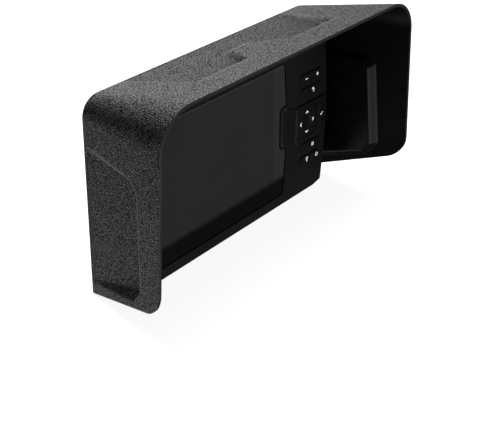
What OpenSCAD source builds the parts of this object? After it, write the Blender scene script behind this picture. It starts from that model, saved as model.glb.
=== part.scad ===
// Keyed marine chartplotter with a clip-over glare visor.
// Every sub-part is drawn from the centre of the face: X to the right, Y back into the
// case, Z up. set_down() then stands the whole object on the bottom of its case.

/* [Case] */
// Width at the widest, half-way up the bowed sides
case_w = 249; // [246:1:250]
// Height
case_h = 143; // [142:0.5:144]
// Depth of the full-width front part
body_d = 29.5; // [29:0.1:29.6]
// Depth from the face to the back
case_d = 55; // [54:0.5:58]
// How far each side bows out past its corners
side_bow = 5.5; // [4:0.5:6]
// Bevel round the face
face_bevel = 2.2; // [1.5:0.1:2.4]
// Depth of the front bezel
bezel_d = 10; // [10:0.1:10.2]
// Wall of the two case mouldings
wall = 3; // [2.8:0.1:3.2]
// Width of the housing behind the front part
housing_w = 208; // [206:1:210]
// Height of the housing behind the front part
housing_h = 117; // [116:1:118]
// Height of the housing's middle above the middle of the face
housing_z = -1.5; // [-2:0.5:-1]

/* [Screen] */
// Width of the cover glass
glass_w = 182; // [180:1:182]
// Height of the cover glass
glass_h = 120; // [118:1:122]
// Middle of the glass, to the right of the middle of the face
glass_x = -26; // [-26.5:0.5:-26]
// Middle of the glass, above the middle of the face
glass_z = 1; // [0:0.5:2]
// Width of the lit picture area
picture_w = 154; // [152:1:154]
// Height of the lit picture area
picture_h = 92; // [88:1:92]

/* [Keys] */
// Middle of the key columns
key_x = 98.7; // [98.5:0.1:99]
// Width of a full-width key
key_w = 28.6; // [28:0.1:29]
// Height of a key
key_h = 8.4; // [8:0.1:8.8]
// How far a key stands out of the panel
key_proud = 1.2; // [0.8:0.1:1.4]
// How far a key goes in
key_travel = 0.8; // [0.5:0.1:0.8]
// Width of the direction pad
pad_w = 27.6; // [26:0.2:27.8]
// Height of the direction pad
pad_h = 26.6; // [25:0.2:27]
// Middle of the direction pad
pad_x = 93; // [92.9:0.1:93.1]
// How far the raised tab and pad surround stand out of the face
tab_proud = 1.6; // [1:0.1:1.8]

/* [Mounting] */
// Bore of the side inserts for bracket knobs
knob_d = 8; // [6:1:8]
// Depth of the side inserts
knob_l = 13; // [10:1:13]
// Bore of the four rear inserts
rear_d = 4; // [3:0.5:4]
// Spacing of the rear inserts across the case
rear_span_x = 38; // [36:1:40]
// Spacing of the rear inserts up the case
rear_span_z = 30; // [28:1:32]
// Outside diameter of a socket barrel
socket_d = 16; // [14:0.5:16]

/* [Visor] */
// Thickness of the formed sheet
sheet = 2.5; // [2:0.1:2.8]
// Half-width of the mouth at the top
mouth_top = 146.5; // [143:0.5:150]
// Half-width of the mouth at the bottom
mouth_low = 157.5; // [155:0.5:162]
// Height of the mouth's top edge
mouth_z = 110.5; // [108:0.5:114]
// How far the mouth stands in front of the face
reach = 64; // [60:1:70]
// Half-width of the back at the top
back_top = 129; // [126:0.5:131]
// Half-width of the back at the bottom
back_low = 135; // [135:0.5:138]
// Height of the back's top edge
back_z = 89.5; // [88:0.5:92]
// Depth of the side pockets at their front ends
pocket_side = 8; // [4:0.5:9]
// Depth of the top pocket at its front end
pocket_top = 6; // [3:0.5:7]

/* [Hidden] */
$fn = 48;
eps = 0.01;
half_h = case_h / 2;
fine = 360;
gap = 0.25;

// The case stands on its bottom, with the origin under the middle of its front part
rest_y = body_d / 2;

// Corner of the case outline: a long shallow cut
corner_run = 9.5;
corner_rise = 2;

// Depths of the layers behind the face
glass_y = 0.3;
glass_t = 2;
gasket_t = 0.5;
ledge_t = 2.2;
shelf_y = glass_y + glass_t + gasket_t;
cavity_y = shelf_y + ledge_t;
seal_t = 0.4;
rear_y = bezel_d + seal_t;
lcd_y = cavity_y + 0.2;
lcd_t = 2;
guide_y = lcd_y + lcd_t + 0.2;
guide_t = 2.5;
tray_t = 0.8;
tray_y = guide_y + guide_t + 0.2;
frame_y = tray_y + tray_t + 0.2;
frame_t = 1.2;
spreader_y = 14;
spreader_t = 1.5;
board_y = 20.2;
board_t = 1.6;

// Picture area and the parts round it
picture_x = -28;
picture_z = 4;
cell_w = picture_w + 8;
cell_h = picture_h + 8;
tray_w = cell_w + 3.5;
tray_h = cell_h + 3.5;

// The raised pad surround, and the tab at its left that laps into the glass
surround_x0 = 77;
surround_x1 = 119.2;
surround_low = -18;
surround_high = 16.8;
surround_r = 2;
surround_slope = 0.9;
tab_x0 = 58;
tab_low = -14.5;
tab_high = 23;
tab_r = 4;
tab_side_slope = 1.5;
tab_top_slope = 3;
tab_step = 0.4;
glass_gap = 0.9;

// Key rows, up from the middle of the face
zoom_z = 39.6;
back_row_z = 26.7;
pad_z = -0.3;
menu_z = -25.5;
low_z = -38.3;
low_key_x = key_x + 1;
low_key_w = key_w - 2;
half_key_w = (low_key_w - 1.6) / 2;
select_x = 112.7;
select_w = 8.6;
select_h = 22.5;
key_r = 2;
pad_r = 4.5;
panel_t = 3;
flange_y = panel_t + gap;
flange_t = 0.8;
flange_lap = 1;
tilt_flange_y = panel_t + 0.9;
stem_r = 1.5;
tilt_stem_end = 7.4;
tilt_stem = 9;
pivot_y = 5;
pivot_r = 2.6;
mat_y = 5.6;
tilt_gap = 0.5;
pad_socket_r = 3.3;
mat_t = 1;
keypad_y = 8.6;
keypad_t = 1.4;
dome_r = 2.4;
dome_t = 0.5;
stem_end = keypad_y - dome_t - 0.1 - key_travel;
keypad_x = 96;
keypad_w = 43;
keypad_h = 92;

// Where the switches sit, as [x, z]
pad_switches = [for (a = [0:90:270]) [pad_x + tilt_stem * cos(a), pad_z + tilt_stem * sin(a)]];
zoom_switches = [for (s = [-1, 1]) [key_x + s * tilt_stem, zoom_z]];
mark_x = low_key_x - (low_key_w - half_key_w) / 2;
power_x = low_key_x + (low_key_w - half_key_w) / 2;
press_switches = [
    [key_x, back_row_z], [select_x, pad_z], [low_key_x, menu_z], [mark_x, low_z], [power_x, low_z]
];
switches = concat(pad_switches, zoom_switches, press_switches);

// Screws
case_spots = [
    for (x = [-114.5, 114.5], z = [-53, 53]) [x, z],
    for (x = [-70, 0, 70], z = [-64.2, 64.2]) [x, z]
];
lcd_spots = [for (x = [-114.5, 61], z = [-25, 25]) [x, z]];
board_spots = [for (x = [-80, 80], z = [-40, 40]) [x, z]];
boss_r = 3.4;
screw_r = 1.45;
pilot_r = 1.5;
head_r = 2.75;
head_t = 2;

// Connector bay at the bottom of the housing's back
bay_w = 92;
bay_top = -28;
bay_y = 42;
socket_x = 24;
socket_z = -44;
socket_end = case_d - 3.5;
nut_t = 3;
barrel_y = bay_y + nut_t + 0.4;
knob_y = 42;
rear_z = 12;
rear_insert_l = 8;
rear_spots = [
    for (x = [-1, 1], z = [-1, 1]) [x * rear_span_x / 2, rear_z + z * rear_span_z / 2]
];
vent_at = [88, 36];

// Visor
visor_back = 32.3;
lip_w = 110;
lip_top = housing_z + housing_h / 2 + 0.3;
lip_r = 12;
mouth_r = 30;
back_r = 16;
side_low_front = -36.5;
side_low_back = -70.5;
side_corner_r = 24;
skirt = -80;

// ---------- Helpers ----------

// Stands a part drawn from the face's centre on the bottom of the case
module set_down() {
    translate([0, -rest_y, half_h]) children();
}

// Extrudes a front-view outline from depth y0 to depth y1
module slab(y0, y1) {
    translate([0, y1, 0]) rotate([90, 0, 0]) linear_extrude(y1 - y0) children();
}

// Extrudes a side-view outline, drawn as [y, z], over the whole width
module across(w) {
    rotate([90, 0, 90]) linear_extrude(w, center = true) children();
}

// A round bar along Y from depth y0 to depth y1
module rod(x, z, r, y0, y1) {
    translate([x, y1, z]) rotate([90, 0, 0]) cylinder(r = r, h = y1 - y0);
}

// Rectangle with round corners, centred
module rounded(w, h, r) {
    square([w - 2 * r, h], center = true);
    square([w, h - 2 * r], center = true);
    for (x = [-1, 1], y = [-1, 1]) {
        translate([x * (w / 2 - r), y * (h / 2 - r)]) circle(r);
    }
}

// A rounded rectangle between two depths, centred on [x, z]
module plate(x, z, w, h, r, y0, y1) {
    slab(y0, y1) translate([x, z]) rounded(w, h, r);
}

// ---------- Outlines ----------

// The case from the front, inset by i: bowed sides and shallow cut corners
module case_outline(i = 0) {
    w = case_w / 2 - i;
    h = half_h - i;
    bow_r = (half_h * half_h + side_bow * side_bow) / (2 * side_bow) - i;
    cut_x = w - side_bow - corner_run;
    cut_z = h - corner_rise * (side_bow + corner_run) / corner_run;
    intersection() {
        polygon([
            [-cut_x, -h], [cut_x, -h], [w, -cut_z], [w, cut_z],
            [cut_x, h], [-cut_x, h], [-w, cut_z], [-w, -cut_z]
        ]);
        translate([w - bow_r, 0]) circle(bow_r, $fn = fine);
        translate([bow_r - w, 0]) circle(bow_r, $fn = fine);
    }
}

// The pad surround, inset by i
module surround_outline(i = 0) {
    translate([(surround_x0 + surround_x1) / 2, (surround_low + surround_high) / 2]) {
        rounded(surround_x1 - surround_x0 - 2 * i, surround_high - surround_low - 2 * i, surround_r);
    }
}

// The tab, grown by g: its top and bottom edges fall towards the pad, and its left corners are round
module tab_outline(g = 0) {
    foot_x = surround_x0 + 2;
    polygon([
        [foot_x, surround_high + g], [tab_x0 + tab_r, tab_high + g], [tab_x0 - g, tab_high - tab_r],
        [tab_x0 - g, tab_low + tab_r], [tab_x0 + tab_r, tab_low - g], [foot_x, surround_low - g]
    ]);
    for (z = [tab_high - tab_r, tab_low + tab_r]) translate([tab_x0 + tab_r, z]) circle(tab_r + g);
}

// The front of the tab, inside its slopes
module tab_front() {
    foot_x = surround_x0 + 2;
    left = tab_x0 + tab_side_slope;
    high = tab_high - tab_top_slope;
    low = tab_low + tab_side_slope;
    polygon([
        [foot_x, surround_high - surround_slope], [left + tab_r, high], [left, high - tab_r],
        [left, low + tab_r], [left + tab_r, low], [foot_x, surround_low + surround_slope]
    ]);
}

// The cover glass, grown by g: its right edge is bowed and notched for the tab
module glass_outline(g = 0) {
    bow = 3.2;
    bow_r = (glass_h * glass_h / 4 + bow * bow) / (2 * bow);
    difference() {
        intersection() {
            translate([glass_x, glass_z]) rounded(glass_w + 2 * g, glass_h + 2 * g, 5 + g);
            translate([glass_x + glass_w / 2 + g - bow_r, glass_z]) circle(bow_r, $fn = fine);
        }
        tab_outline(0.4 + glass_gap - g);
    }
}

// The select key: a tall key beside the pad
module select_outline(g = 0) {
    translate([select_x, pad_z]) rounded(select_w + 2 * g, select_h + 2 * g, key_r + g);
}

// Shallow upright grooves on the housing's back, either side of the rear inserts
module back_grooves() {
    groove_w = 3;
    pitch = 7;
    for (s = [-1, 1], i = [0:4]) {
        plate(s * (46 + pitch * i), 8, groove_w, 62, groove_w / 2 - 0.1, case_d - 1, case_d + 1);
    }
}

// The housing behind the front part, inset by i
module housing_outline(i = 0) {
    translate([0, housing_z]) rounded(housing_w - 2 * i, housing_h - 2 * i, 12 - i);
}

// ---------- Case ----------

// Every key's hole through the bezel
module key_holes() {
    slab(-5, panel_t + 1) {
        translate([key_x, zoom_z]) rounded(key_w + 2 * tilt_gap, key_h + 2 * gap, key_r + gap);
        translate([key_x, back_row_z]) rounded(key_w + 2 * gap, key_h + 2 * gap, key_r + gap);
        translate([low_key_x, menu_z]) rounded(low_key_w + 2 * gap, key_h + 2 * gap, key_r + gap);
        for (x = [mark_x, power_x]) {
            translate([x, low_z]) rounded(half_key_w + 2 * gap, key_h + 2 * gap, key_r + gap);
        }
        translate([pad_x, pad_z]) rounded(pad_w + 2 * tilt_gap, pad_h + 2 * tilt_gap, pad_r + tilt_gap);
        select_outline(gap);
    }
}

// Finger relief in the lower edge, under the middle of the screen
module lower_relief() {
    relief_w = 72;
    relief_run = 7;
    relief_rise = 1.2;
    wide = relief_w / 2 + 2 * relief_run;
    slab(-1, 8) translate([glass_x, -half_h + relief_rise]) polygon([
        [-relief_w / 2, 0], [relief_w / 2, 0], [wide, -2 * relief_rise], [-wide, -2 * relief_rise]
    ]);
}

module front_bezel() {
    color("#1d1d1f") set_down() difference() {
        union() {
            difference() {
                union() {
                    hull() {
                        slab(0, eps) case_outline(face_bevel);
                        slab(face_bevel, bezel_d) case_outline();
                    }
                    hull() {
                        slab(-tab_proud, eps - tab_proud) surround_outline(surround_slope);
                        slab(surround_slope - tab_proud, 1) surround_outline();
                    }
                    hull() {
                        slab(tab_step - tab_proud, tab_step - tab_proud + eps) tab_front();
                        slab(0.6, 1) tab_outline();
                    }
                }
                slab(cavity_y, bezel_d + 1) case_outline(wall + 0.2);
                slab(panel_t, cavity_y + 1) intersection() {
                    case_outline(wall + 0.2);
                    translate([keypad_x, 0]) rounded(keypad_w + 6, keypad_h + 12, 4);
                }
            }
            for (p = case_spots) rod(p[0], p[1], boss_r, cavity_y - 1, bezel_d);
            for (p = lcd_spots) rod(p[0], p[1], 3, cavity_y - 1, frame_y);
        }
        slab(-1, shelf_y) glass_outline(glass_gap);
        plate(picture_x, picture_z, picture_w + 4, picture_h + 4, 1, -1, cavity_y + 1);
        key_holes();
        lower_relief();
        for (p = case_spots) rod(p[0], p[1], pilot_r, shelf_y + 1.4, bezel_d + 1);
        for (p = lcd_spots) rod(p[0], p[1], pilot_r, cavity_y, frame_y + 1);
    }
}

module rear_shell() {
    taper = 5;
    difference() {
        union() {
            slab(rear_y, body_d) case_outline();
            hull() {
                slab(body_d - 1, case_d - taper) housing_outline();
                slab(case_d - eps, case_d) housing_outline(taper);
            }
        }
        difference() {
            union() {
                slab(rear_y - 1, body_d - wall) case_outline(wall);
                hull() {
                    slab(body_d - wall - 1, case_d - wall - taper) housing_outline(wall);
                    slab(case_d - wall - eps, case_d - wall) housing_outline(wall + taper - 1);
                }
            }
            translate([-bay_w / 2 - wall, bay_y - wall, -half_h]) {
                cube([bay_w + 2 * wall, case_d, half_h + bay_top + wall]);
            }
        }
        translate([-bay_w / 2, bay_y, -half_h - 1]) cube([bay_w, case_d, half_h + bay_top + 1]);
    }
}

module rear_case() {
    counterbore = head_t + 0.3;
    color("#222224") set_down() difference() {
        union() {
            rear_shell();
            for (p = case_spots) rod(p[0], p[1], boss_r, rear_y, body_d - wall + eps);
            for (p = board_spots) rod(p[0], p[1], 3.2, board_y + board_t, case_d - wall + eps);
            for (p = rear_spots) rod(p[0], p[1], 5, case_d - 11, case_d - wall + eps);
            for (s = [-1, 1]) {
                translate([s * (housing_w / 2 - 1.5), knob_y, housing_z]) rotate([0, -s * 90, 0]) {
                    cylinder(r = 9, h = knob_l + 1.5);
                }
            }
        }
        for (p = case_spots) {
            rod(p[0], p[1], 1.7, rear_y - 1, body_d + 1);
            rod(p[0], p[1], head_r + 0.15, body_d - counterbore, body_d + 1);
        }
        for (p = board_spots) rod(p[0], p[1], pilot_r, board_y, board_y + 12);
        for (p = rear_spots) rod(p[0], p[1], rear_d / 2 + 0.9, case_d - rear_insert_l, case_d + 1);
        for (s = [-1, 1]) {
            translate([s * (housing_w / 2 + 1), knob_y, housing_z]) rotate([0, -s * 90, 0]) {
                cylinder(r = knob_d / 2 + 2, h = knob_l + 1);
            }
            rod(s * socket_x, socket_z, socket_d / 2 + 0.05, bay_y - wall - 1, bay_y + 1);
        }
        rod(vent_at[0], vent_at[1], 3.05, case_d - wall - 1, case_d + 1);
        back_grooves();
    }
}

module case_seal() {
    color("#2b2b2b") set_down() slab(bezel_d, rear_y) difference() {
        case_outline(0.8);
        case_outline(wall);
        for (p = case_spots) translate(p) circle(1.7);
    }
}

module screw(x, z, y0, y1, y_head) {
    rod(x, z, screw_r, min(y0, y1), max(y0, y1));
    rod(x, z, head_r, min(y1, y_head), max(y1, y_head));
}

module case_screws() {
    seat = body_d - head_t - 0.3;
    color("#8d8f92") set_down() for (p = case_spots) difference() {
        screw(p[0], p[1], shelf_y + 2, seat, seat + head_t);
        rod(p[0], p[1], 1.3, seat + 1, seat + head_t + 1, $fn = 6);
    }
}

module rear_inserts() {
    color("#b8923f") set_down() for (p = rear_spots) difference() {
        rod(p[0], p[1], rear_d / 2 + 0.9, case_d - rear_insert_l, case_d);
        rod(p[0], p[1], rear_d / 2, case_d - rear_insert_l - 1, case_d + 1);
    }
}

module knob_inserts() {
    color("#b8923f") set_down() for (s = [-1, 1]) {
        translate([s * housing_w / 2, knob_y, housing_z]) rotate([0, -s * 90, 0]) difference() {
            cylinder(r = knob_d / 2 + 2, h = knob_l);
            translate([0, 0, -1]) cylinder(r = knob_d / 2, h = knob_l + 2);
        }
    }
}

// A socket: flange and tail inside the wall, threaded part through it, slimmer barrel for the plug
module socket(x) {
    difference() {
        union() {
            rod(x, socket_z, socket_d / 2, bay_y - wall - 1, barrel_y);
            rod(x, socket_z, socket_d / 2 - 0.3, barrel_y, socket_end);
            rod(x, socket_z, socket_d / 2 + 2.5, bay_y - wall - 3, bay_y - wall);
            rod(x, socket_z, socket_d / 2 - 2.5, bay_y - wall - 8, bay_y - wall - 2);
        }
        rod(x, socket_z, socket_d / 2 - 1.7, bay_y + 2, socket_end + 1);
    }
}

module power_socket() {
    color("#18181a") set_down() socket(-socket_x);
}

module transducer_socket() {
    color("#18181a") set_down() socket(socket_x);
}

// A ring of contact pins standing on a socket's floor
module pins(x, count, ring_r) {
    for (i = [0:count - 1]) {
        a = 360 * i / count + 45;
        rod(x + ring_r * cos(a), socket_z + ring_r * sin(a), 0.5, bay_y + 2, socket_end - 2.5);
    }
}

module power_pins() {
    color("#c9a24a") set_down() pins(-socket_x, 4, 2.6);
}

module transducer_pins() {
    color("#c9a24a") set_down() pins(socket_x, 8, 3);
}

module socket_nuts() {
    color("#3a3a3c") set_down() for (s = [-1, 1]) difference() {
        rod(s * socket_x, socket_z, socket_d / 2 + 3.2, bay_y, bay_y + nut_t, $fn = 6);
        rod(s * socket_x, socket_z, socket_d / 2 + 0.05, bay_y - 1, bay_y + nut_t + 1);
    }
}

module vent_plug() {
    color("#151515") set_down() {
        rod(vent_at[0], vent_at[1], 3, case_d - wall - 0.5, case_d);
        rod(vent_at[0], vent_at[1], 5.5, case_d, case_d + 1.5);
    }
}

// ---------- Screen ----------

module cover_glass() {
    color("#2c2b2d") set_down() slab(glass_y, glass_y + glass_t) glass_outline();
}

module glass_gasket() {
    color("#101010") set_down() slab(glass_y + glass_t, shelf_y) difference() {
        glass_outline(-0.5);
        translate([picture_x, picture_z]) square([picture_w + 6, picture_h + 6], center = true);
    }
}

module lcd_panel() {
    color("#3a3a40") set_down() plate(picture_x, picture_z, cell_w, cell_h, 0.5, lcd_y, lcd_y + lcd_t);
}

module light_guide() {
    color("#d8dde0") set_down() {
        plate(picture_x, picture_z, cell_w, cell_h, 0.5, guide_y, guide_y + guide_t);
    }
}

module backlight_tray() {
    color("#b9bcc0") set_down() difference() {
        plate(picture_x, picture_z, tray_w, tray_h, 1, guide_y - 1, tray_y + tray_t);
        plate(picture_x, picture_z, cell_w + 1, cell_h + 1, 0.6, guide_y - 2, tray_y);
    }
}

module lcd_frame() {
    color("#a4a7ab") set_down() difference() {
        union() {
            plate(picture_x, picture_z, tray_w, tray_h, 2, frame_y, frame_y + frame_t);
            for (p = lcd_spots) {
                inward = p[0] < picture_x ? 3 : -3;
                plate(p[0] + inward, p[1], 13, 9, 2, frame_y, frame_y + frame_t);
            }
        }
        plate(picture_x, picture_z, tray_w - 36, tray_h - 36, 3, frame_y - 1, frame_y + frame_t + 1);
        for (p = lcd_spots) rod(p[0], p[1], 1.7, frame_y - 1, frame_y + frame_t + 1);
    }
}

module lcd_screws() {
    color("#8d8f92") set_down() for (p = lcd_spots) {
        screw(p[0], p[1], cavity_y + 0.5, frame_y + frame_t, frame_y + frame_t + 1.6);
    }
}

// ---------- Electronics ----------

module heat_spreader() {
    color("#c4c6c9") set_down() {
        plate(picture_x + 2, 2, 140, 84, 3, spreader_y, spreader_y + spreader_t);
    }
}

module thermal_pad() {
    color("#7d8fa6") set_down() plate(-10, 8, 26, 26, 1, spreader_y + spreader_t, board_y - 1.8);
}

module main_board() {
    color("#1d5a3a") set_down() difference() {
        plate(0, 0, 176, 92, 3, board_y, board_y + board_t);
        for (p = board_spots) rod(p[0], p[1], 1.7, board_y - 1, board_y + board_t + 1);
    }
}

// Chips and coils on the front of the main board
module board_components() {
    color("#2a2a2d") set_down() {
        plate(-10, 8, 24, 24, 0.5, board_y - 1.8, board_y);
        for (i = [0:3]) plate(16 + 14 * i, 22, 11, 9, 0.5, board_y - 1.2, board_y);
        for (i = [0:2]) plate(-62 + 16 * i, -28, 12, 12, 2, board_y - 4, board_y);
    }
}

module board_shield() {
    color("#c9cbce") set_down() difference() {
        plate(24, 4, 58, 42, 1, board_y + board_t, board_y + board_t + 4);
        plate(24, 4, 57, 41, 0.7, board_y + board_t - 1, board_y + board_t + 3.5);
    }
}

module board_screws() {
    color("#8d8f92") set_down() for (p = board_spots) {
        screw(p[0], p[1], board_y + 11, board_y, board_y - 1.6);
    }
}

// Ceramic satellite patch on its own small board, facing the sky
module gnss_antenna() {
    color("#c9b89a") set_down() translate([32, 11.2, 60]) {
        cube([20, 15, 1]);
        translate([1, 1, 1]) cube([18, 13, 4]);
    }
}

module buzzer() {
    color("#1a1a1a") set_down() difference() {
        rod(-52, 20, 8, board_y + board_t, board_y + board_t + 6);
        rod(-52, 20, 1.5, board_y + board_t + 4, board_y + board_t + 7);
    }
}

// Ribbon from the back of the screen round the board's lower edge
module display_flex() {
    color("#b8742e") set_down() {
        translate([-48, tray_y, -50]) cube([40, board_y + board_t + 0.4 - tray_y, 0.3]);
        translate([-48, board_y + board_t, -50]) cube([40, 0.4, 7]);
    }
}

// Ribbon from the keypad board straight back to the main board
module keypad_flex() {
    color("#b8742e") set_down() {
        translate([78, keypad_y + keypad_t, 0]) cube([8, board_y - keypad_y - keypad_t, 0.3]);
    }
}

// ---------- Keypad ----------

module keypad_board() {
    color("#1d5a3a") set_down() plate(keypad_x, 0, keypad_w, keypad_h, 2, keypad_y, keypad_y + keypad_t);
}

module dome_switches() {
    color("#cfd2d6") set_down() for (p = switches) {
        rod(p[0], p[1], dome_r, keypad_y - dome_t, keypad_y);
    }
}

module key_mat() {
    color("#3b3b3e") set_down() difference() {
        plate(keypad_x, 0, keypad_w, keypad_h, 3, mat_y, mat_y + mat_t);
        for (p = switches) rod(p[0], p[1], stem_r + 0.7, mat_y - 1, mat_y + mat_t + 1);
        rod(pad_x, pad_z, pivot_r + 0.6, mat_y - 1, mat_y + mat_t + 1);
    }
}

// A key that goes straight in: cap, retaining flange and one stem over its switch
module press_key(x, z, w, h, front) {
    plate(x, z, w, h, key_r, front, flange_y);
    plate(x, z, w + 2 * flange_lap, h + 2 * flange_lap, key_r + flange_lap, flange_y, flange_y + flange_t);
    rod(x, z, stem_r, flange_y, stem_end);
}

module back_key() {
    color("#202022") set_down() press_key(key_x, back_row_z, key_w, key_h, -key_proud);
}

module menu_key() {
    color("#202022") set_down() press_key(low_key_x, menu_z, low_key_w, key_h, -key_proud);
}

module mark_key() {
    color("#202022") set_down() press_key_half(mark_x);
}

module power_key() {
    color("#202022") set_down() press_key_half(power_x);
}

// One of the two half-width keys: its flange stays short of its neighbour's
module press_key_half(x) {
    plate(x, low_z, half_key_w, key_h, key_r, -key_proud, flange_y);
    plate(x, low_z, half_key_w, key_h + 2 * flange_lap, key_r, flange_y, flange_y + flange_t);
    rod(x, low_z, stem_r, flange_y, stem_end);
}

module select_key() {
    color("#202022") set_down() {
        slab(-tab_proud - 0.4, flange_y) select_outline();
        slab(flange_y, flange_y + flange_t) translate([select_x, pad_z]) {
            rounded(select_w, select_h + 2 * flange_lap, key_r);
        }
        rod(select_x, pad_z, stem_r, flange_y, stem_end);
    }
}

// Plus and minus on one key that rocks about its middle
module zoom_rocker() {
    color("#202022") set_down() {
        plate(key_x, zoom_z, key_w, key_h, key_r, -key_proud, tilt_flange_y);
        plate(key_x, zoom_z, key_w, key_h + 2 * flange_lap, key_r, tilt_flange_y, tilt_flange_y + flange_t);
        for (p = zoom_switches) rod(p[0], p[1], stem_r, tilt_flange_y, tilt_stem_end);
        translate([key_x, pivot_y, zoom_z]) cylinder(r = 0.55, h = key_h - 2, center = true);
    }
}

// The direction pad: cap, flange, four stems and a round socket for its pivot
module direction_pad() {
    back_y = tilt_flange_y + flange_t;
    color("#202022") set_down() difference() {
        union() {
            plate(pad_x, pad_z, pad_w, pad_h, pad_r, -tab_proud - 0.4, back_y);
            plate(pad_x, pad_z, pad_w - 2, pad_h + 2 * flange_lap, pad_r, tilt_flange_y, back_y);
            for (p = pad_switches) rod(p[0], p[1], stem_r, tilt_flange_y, tilt_stem_end);
        }
        rod(pad_x, pad_z, pad_socket_r, pivot_y - 1.4, back_y + 1);
    }
}

// The stub that the direction pad rocks on, with a round bar along each rocking axis
module pad_pivot() {
    bar_r = 0.9;
    color("#4a4a4d") set_down() {
        rod(pad_x, pad_z, pivot_r - 0.6, pivot_y, keypad_y - 0.3);
        translate([pad_x, pivot_y, pad_z]) {
            cylinder(r = bar_r, h = 2 * pivot_r, center = true);
            rotate([0, 90, 0]) cylinder(r = bar_r, h = 2 * pivot_r, center = true);
        }
    }
}

// ---------- Visor ----------

// One end's rounded top corners and bottom corners, as thin pieces for a hull
module visor_ribs(y, top_w, low_w, top_z, low_z, r) {
    tilt = atan((low_w - top_w) / (top_z - low_z));
    foot_w = low_w + (low_w - top_w) / (top_z - low_z) * (low_z - skirt);
    corner_x = top_w - r / tan((90 + tilt) / 2);
    for (s = [-1, 1]) {
        rod(s * corner_x, top_z - r, r, y - eps, y + eps, $fn = 64);
        translate([s * foot_w - (s > 0 ? eps : 0), y - eps, skirt]) cube([eps, 2 * eps, eps]);
    }
}

// The tub inset by i, between its back at y_back and its mouth
module visor_tub(i, y_back) {
    grow = i == 0 ? 0 : 1;
    hull() {
        visor_ribs(y_back, back_top - i, back_low - i, back_z - i, side_low_back, back_r - i);
        visor_ribs(-reach - grow, mouth_top - i, mouth_low - i, mouth_z - i, side_low_front, mouth_r - i);
    }
}

// The visor from the side: mouth at the left, slanted lower edge, round lower front corner
module visor_side() {
    slope = (side_low_front - side_low_back) / (reach + visor_back);
    corner_y = -reach + side_corner_r;
    lean = sqrt(1 + slope * slope);
    corner_z = side_low_front - slope * side_corner_r + side_corner_r * lean;
    tangent_y = corner_y - slope * side_corner_r / lean;
    top = mouth_z + 5;
    difference() {
        polygon([
            [-reach - 1, side_low_front + slope], [visor_back + 1, side_low_back - slope],
            [visor_back + 1, top], [-reach - 1, top]
        ]);
        difference() {
            polygon([
                [-reach - 2, side_low_front - 10], [tangent_y, side_low_front - 10],
                [tangent_y, corner_z], [-reach - 2, corner_z]
            ]);
            translate([corner_y, corner_z]) circle(side_corner_r);
        }
    }
}

// Outline of a side pocket as [y, z], grown by g
module side_pocket_outline(g) {
    polygon([
        [40, 54 + g], [-28 - g / 2, 50 + g], [-34 - g, 45 + g / 2],
        [-38 - g, -29 - g / 2], [-30 - g / 2, -40 - g], [40, -61 - g]
    ]);
}

// Outline of the top pocket as [x, y], grown by g
module top_pocket_outline(g) {
    right = [[93 + g, 40], [79 + g, -33 - g], [28 - g, -33 - g], [12 - g, -3 - g]];
    polygon(concat(right, [for (i = [3:-1:0]) [-right[i][0], right[i][1]]]));
}

// What the pockets take out of the tub; g is 0 outside the sheet and its thickness inside
module pockets(g) {
    floor_back = back_top + (back_low - back_top) * (back_z / (back_z - side_low_back));
    side_run = 67;
    side_slope = atan((15.6 - pocket_side) / side_run);
    side_lean = -3.2;
    top_run = 65;
    top_slope = atan((14.2 - pocket_top) / top_run);
    for (s = [-1, 1]) mirror([s < 0 ? 1 : 0, 0, 0]) intersection() {
        translate([floor_back - g, visor_back, 0]) rotate([0, side_lean, side_slope]) {
            translate([0, -200, -200]) cube([100, 400, 400]);
        }
        translate([150, 0, 0]) across(100) side_pocket_outline(g);
    }
    intersection() {
        translate([0, visor_back, back_z - g]) rotate([-top_slope, 0, 0]) {
            translate([-200, -200, 0]) cube([400, 400, 100]);
        }
        translate([0, 0, 60]) linear_extrude(80) top_pocket_outline(g);
    }
}

module visor_shell() {
    color("#3d3c3d") set_down() intersection() {
        difference() {
            visor_tub(0, visor_back);
            pockets(0);
            difference() {
                visor_tub(sheet, visor_back - sheet);
                pockets(sheet);
            }
            slab(visor_back - sheet - 1, visor_back + 1) {
                translate([0, lip_top / 2 - 60]) rounded(2 * lip_w, lip_top + 120, lip_r);
            }
        }
        across(2 * mouth_low + 20) visor_side();
    }
}

visor_shell();
front_bezel();
cover_glass();
glass_gasket();
lcd_panel();
light_guide();
backlight_tray();
lcd_frame();
lcd_screws();
heat_spreader();
thermal_pad();
main_board();
board_components();
board_shield();
board_screws();
gnss_antenna();
buzzer();
display_flex();
keypad_flex();
keypad_board();
dome_switches();
key_mat();
zoom_rocker();
back_key();
direction_pad();
pad_pivot();
select_key();
menu_key();
mark_key();
power_key();
rear_case();
case_seal();
case_screws();
rear_inserts();
knob_inserts();
power_socket();
transducer_socket();
power_pins();
transducer_pins();
socket_nuts();
vent_plug();
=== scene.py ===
"""Looks of the keyed chartplotter in its glare visor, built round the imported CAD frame."""
import math

import bmesh
import bpy
import numpy as np
from mathutils import Matrix, Vector


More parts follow.
